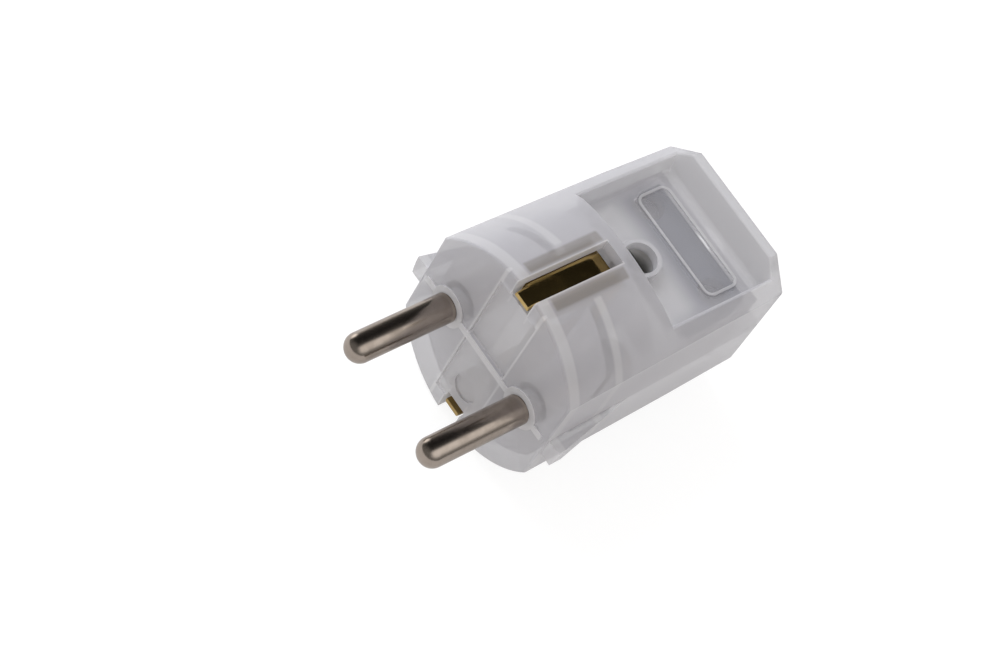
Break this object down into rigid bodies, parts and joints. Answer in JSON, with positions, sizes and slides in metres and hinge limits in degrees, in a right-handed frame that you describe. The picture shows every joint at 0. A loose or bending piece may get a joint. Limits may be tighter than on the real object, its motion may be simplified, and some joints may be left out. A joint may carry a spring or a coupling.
{
  "type": "type f plug",
  "caption": "Rewirable type F mains plug: see-through half shells with finger recesses, round contact pins, earth contacts in side slots, a cord inlet and the terminals inside.",
  "frame": {"origin": "middle of the front face, on the plane through both pin axes", "axes": "+Y from the front face to the cord inlet, so the pins point along -Y; +X from the left pin to the right pin; +Z towards the upper half shell"},
  "size_m": [0.0372, 0.0642, 0.037],
  "materials": {
    "frosted_plastic": "frosted, see-through",
    "nickel_plate": "satin nickel on brass",
    "brass": "bright rolled brass",
    "zinc_steel": "zinc-plated",
    "clamp_plastic": "slate-grey nylon"
  },
  "bodies": {
    "root": {"upper_housing": "frosted_plastic", "lower_housing": "frosted_plastic", "contact_pin_left": "nickel_plate", "contact_pin_right": "nickel_plate", "terminal_screw_left": "zinc_steel", "terminal_screw_right": "zinc_steel", "earth_strap": "brass", "earth_washer": "zinc_steel", "earth_screw": "zinc_steel", "housing_screw": "zinc_steel", "housing_nut": "zinc_steel", "cord_clamp": "clamp_plastic", "cord_clamp_screw_left": "zinc_steel", "cord_clamp_screw_right": "zinc_steel"}
  },
  "joints": []
}
